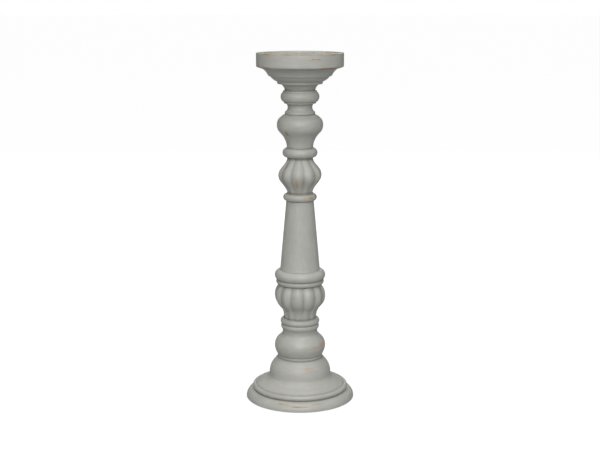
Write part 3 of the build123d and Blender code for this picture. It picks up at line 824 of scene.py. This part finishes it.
def column_shaft():
    foot, top, _ = span("column_shaft")
    out = Outline(foot, 26.6 * MM, dowel_bore("collar_dowel", upward=True))
    out.line(26.0 * MM, foot + 2.0 * MM)
    out.line(18.0 * MM, top)
    points = out.close(top, dowel_bore("shaft_dowel", upward=False))
    finish = painted_wood("column", 1.0, [rub(0.232, 56, 14, 1.2, 0.5, 1)])
    turn("column_turning", "column_shaft", points, finish, joints=(0.1, 0.5), Wear=0.1, Seed=41.0)


def upper_melon():
    foot, top, _ = span("upper_melon")
    bulb_foot, bulb_top = foot + 9.6 * MM, top - 12.6 * MM
    out = Outline(foot, 18.0 * MM, dowel_bore("shaft_dowel", upward=True))
    out.bead(22.0 * MM, 16.6 * MM, bulb_foot)
    out.line(16.7 * MM, bulb_foot)
    rise = bulb_top - bulb_foot
    crests = [
        (0.849, 19.4), (0.73, 23.4), (0.609, 27.5), (0.481, 28.8),
        (0.353, 27.2), (0.23, 22.8), (0.115, 18.6), (0.0, 16.9),
    ]
    out.curve([(r * MM, bulb_top - share * rise) for share, r in crests], UPRIGHT, UPRIGHT)
    out.bead(22.7 * MM, 17.0 * MM, top)
    points = out.close(top, dowel_bore("vase_dowel", upward=False))
    depths = [
        (0.0, 1.1), (0.115, 1.5), (0.23, 2.0), (0.353, 2.4), (0.481, 2.5),
        (0.609, 2.4), (0.73, 2.1), (0.849, 1.7), (1.0, 1.1),
    ]
    groove = lobe_depth(bulb_foot, bulb_top, 14 * MM, depths)
    carved = {"Lobes": 10, "First Groove": from_front(11.3), "Segments": 10 * 28}
    rubs = [
        rub(0.2915, -9.5, 8.5, 1.8, 1.0, 1),
        rub(0.2915, 9.0, 5.0, 1.0, 0.6, 1),
        rub(0.3130, -53, 3.6, 2.8, 0.8, 1),
        rub(0.2722, 30, 1.5, 9, 0.9),
    ]
    finish = painted_wood("upper_melon", 0.7, rubs)
    turn("upper_melon_carving", "upper_melon", points, finish, groove, Wear=0.12, Seed=51.0, **carved)


def vase_knop():
    foot, top, _ = span("vase_knop")
    crown = top - 13.6 * MM
    out = Outline(foot, 17.0 * MM, dowel_bore("vase_dowel", upward=True))
    body = [(19.0, 0.32), (24.0, 0.59), (28.3, 0.762)]
    out.swell(body, 29.9 * MM, crown, UPRIGHT, UPRIGHT)
    shoulder = [(27.9, 0.52), (23.9, 0.809)]
    out.swell(shoulder, 19.6 * MM, top, UPRIGHT, (-1, 0.35))
    points = out.close(top, dowel_bore("neck_dowel", upward=False))
    finish = painted_wood("vase", 0.0, [rub(0.3558, -41, 3.6, 2.0, 1.0, 1)])
    turn(
        "vase_turning", "vase_knop", points, finish, joints=(0.4, 0.6), crevice_glaze_and_shade=0.9,
        Wear=0.1, Seed=61.0,
    )


def neck_collar():
    foot, top, _ = span("neck_collar")
    out = Outline(foot, 19.6 * MM, dowel_bore("neck_dowel", upward=True))
    out.line(19.6 * MM, foot + 3.0 * MM)
    out.line(18.9 * MM, foot + 3.4 * MM)
    out.bead(15.9 * MM, 17.8 * MM, foot + 13.4 * MM)
    out.line(20.6 * MM, foot + 13.8 * MM)
    out.line(20.6 * MM, foot + 15.6 * MM)
    out.line(22.0 * MM, foot + 16.0 * MM)
    out.bead(24.95 * MM, 22.6 * MM, foot + 28.0 * MM)
    out.line(21.9 * MM, foot + 28.4 * MM)
    out.line(21.9 * MM, foot + 30.0 * MM)
    out.line(19.7 * MM, foot + 30.4 * MM)
    out.swell([(20.9, 0.47)], 25.8 * MM, top, UPRIGHT, (1, 0.35))
    points = out.close(top, dowel_bore("cup_dowel", upward=False))
    turn(
        "neck_turning", "neck_collar", points, painted_wood("neck", 0.0), joints=(0.8, 0.4),
        crevice_glaze_and_shade=0.8, Wear=0.12, Seed=71.0,
    )


def candle_cup():
    foot, top, rim_r = span("candle_cup")
    band = top - 18.4 * MM
    recess_r, recess_floor = 49.0 * MM, top - 1.8 * MM
    rise = band - foot
    out = Outline(foot, 28.8 * MM, dowel_bore("cup_dowel", upward=True))
    out.line(29.8 * MM, foot + 3.3 * MM)
    out.round((34.5 * MM, foot + 0.27 * rise), 38.1 * MM, foot + 0.45 * rise)
    out.line(40.6 * MM, foot + 0.485 * rise)
    out.round((43.8 * MM, foot + 0.73 * rise), 48.1 * MM, foot + 0.915 * rise)
    out.line(rim_r - 2.2 * MM, band)
    out.round((rim_r - 0.64 * MM, band + 0.64 * MM), rim_r, band + 2.2 * MM)
    out.line(rim_r, top - 0.5 * MM)
    out.round((rim_r - 0.15 * MM, top - 0.15 * MM), rim_r - 0.5 * MM, top)
    out.line(recess_r + 0.4 * MM, top)
    out.round((recess_r + 0.12 * MM, top - 0.12 * MM), recess_r, top - 0.4 * MM)
    out.line(recess_r, recess_floor + 0.3 * MM)
    out.round((recess_r - 0.09 * MM, recess_floor + 0.09 * MM), recess_r - 0.3 * MM, recess_floor)
    rubs = [
        rub(0.4562, -46, 0.9, 17),
        rub(0.4562, 45, 0.9, 15),
        rub(0.4562, -10, 0.7, 32, 0.9),
        rub(0.4562, 22, 0.6, 18, 0.6),
        rub(0.4388, -52, 1.3, 11, 0.9),
        rub(0.4388, 42, 1.3, 15),
        rub(0.4505, 21, 0.8, 6, 1.1),
        rub(0.4498, 13, 0.5, 9, 0.45),
    ]
    turn(
        "cup_turning", "candle_cup", out.close(recess_floor), painted_wood("cup", 0.0, rubs),
        joints=(0.4, 0), crevice_glaze_and_shade=0.5, Segments=WIDE_ROUND, Wear=0.22, Seed=81.0,
    )


for make in (
    felt_disc, foot_plinth, bell_base, ball_knop, lower_melon, shaft_collar,
    column_shaft, upper_melon, vase_knop, neck_collar, candle_cup,
):
    make()

DOWELS = ("cup_dowel", "neck_dowel", "vase_dowel", "shaft_dowel", "collar_dowel", "melon_dowel")
FASTENERS = ("stem_screw", "stem_washer", "foot_screws")
for finish, nodes in ((beech(), DOWELS), (zinc_steel(), FASTENERS)):
    for name in nodes:
        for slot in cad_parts[name].material_slots:
            slot.material = finish


# ======================================================================================
# Floor, lights and camera
# ======================================================================================


FLOOR_REACH = 40.0                      # from the middle to each side
CAMERA_PLACE = (0, -1.4711, 0.5221)
CAMERA_LENS = 68.69                     # mm, on a sensor 36 mm wide
LOOKS_DOWN = 11.10                      # degrees below level


def floor():
    """Wide pale floor, white to the eye and duller as a source of light."""
    mesh = bpy.data.meshes.new("floor")
    reach = FLOOR_REACH
    corners = [(-reach, -reach, 0), (reach, -reach, 0), (reach, reach, 0), (-reach, reach, 0)]
    mesh.from_pydata(corners, [], [(0, 1, 2, 3)])
    made = bpy.data.objects.new("floor", mesh)
    bpy.context.scene.collection.objects.link(made)
    finish = bpy.data.materials.new("pale_floor")
    finish.use_nodes = True
    tree = finish.node_tree
    tree.nodes.clear()
    seen = add(tree, "ShaderNodeLightPath").outputs["Is Camera Ray"]
    pale = add(tree, "ShaderNodeBsdfDiffuse", {"Color": (0.9, 0.9, 0.9, 1)}).outputs[0]
    glow = add(tree, "ShaderNodeEmission", {"Color": (1, 1, 1, 1), "Strength": 1.1}).outputs[0]
    lit = add(tree, "ShaderNodeMixShader", {0: 0.82, 1: pale, 2: glow}).outputs[0]
    dull = add(tree, "ShaderNodeBsdfDiffuse", {"Color": (0.33, 0.33, 0.33, 1)}).outputs[0]
    both = add(tree, "ShaderNodeMixShader", {0: seen, 1: dull, 2: lit}).outputs[0]
    out = tree.nodes.new("ShaderNodeOutputMaterial")
    tree.links.new(both, out.inputs["Surface"])
    mesh.materials.append(finish)


def studio():
    """White surroundings, brighter in front and above than behind."""
    world = bpy.data.worlds.new("studio")
    world.use_nodes = True
    bpy.context.scene.world = world
    tree = world.node_tree
    tree.nodes.clear()
    towards = add(tree, "ShaderNodeTexCoord").outputs["Generated"]
    place = add(tree, "ShaderNodeSeparateXYZ", {0: towards}).outputs
    front = between(tree, maths(tree, "MULTIPLY", place[1], -1), -0.1, 1.0, 0.08, 0.75)
    above = between(tree, place[2], 0.2, 1.0, 0.0, 0.45)
    level = maths(tree, "ADD", front, above)
    seen = add(tree, "ShaderNodeLightPath").outputs["Is Camera Ray"]
    strength = add(tree, "ShaderNodeMix", {0: seen, 2: level, 3: 1.0}).outputs[0]
    sky = add(tree, "ShaderNodeBackground", {"Color": (1, 1, 1, 1), "Strength": strength}).outputs[0]
    out = tree.nodes.new("ShaderNodeOutputWorld")
    tree.links.new(sky, out.inputs["Surface"])


def soft_light(name, place, aim, size, power, glints=True):
    """A round lamp, size metres across; without glints the paint doesn't mirror it."""
    light = bpy.data.lights.new(name, "AREA")
    light.shape = "DISK"
    light.size = size
    light.energy = power
    made = bpy.data.objects.new(name, light)
    bpy.context.scene.collection.objects.link(made)
    made.location = place
    made.rotation_euler = (Vector(aim) - Vector(place)).to_track_quat("-Z", "Y").to_euler()
    made.visible_glossy = glints


floor()
studio()
middle = (cad_low + cad_high) / 2
soft_light("key_light", (0, -1.75, 1.15), middle, 1.5, 18)
soft_light("top_light", (0, -0.45, 2.2), middle, 0.8, 9)
soft_light("back_light", (0, 2.2, 1.0), middle, 1.0, 28, glints=False)

camera = bpy.data.cameras.new("camera")
camera.lens = CAMERA_LENS
camera.sensor_width = 36
camera_object = bpy.data.objects.new("camera", camera)
bpy.context.scene.collection.objects.link(camera_object)
camera_object.location = CAMERA_PLACE
camera_object.rotation_euler = (radians(90 - LOOKS_DOWN), 0, 0)
bpy.context.scene.camera = camera_object
bpy.context.scene.view_settings.view_transform = "Standard"
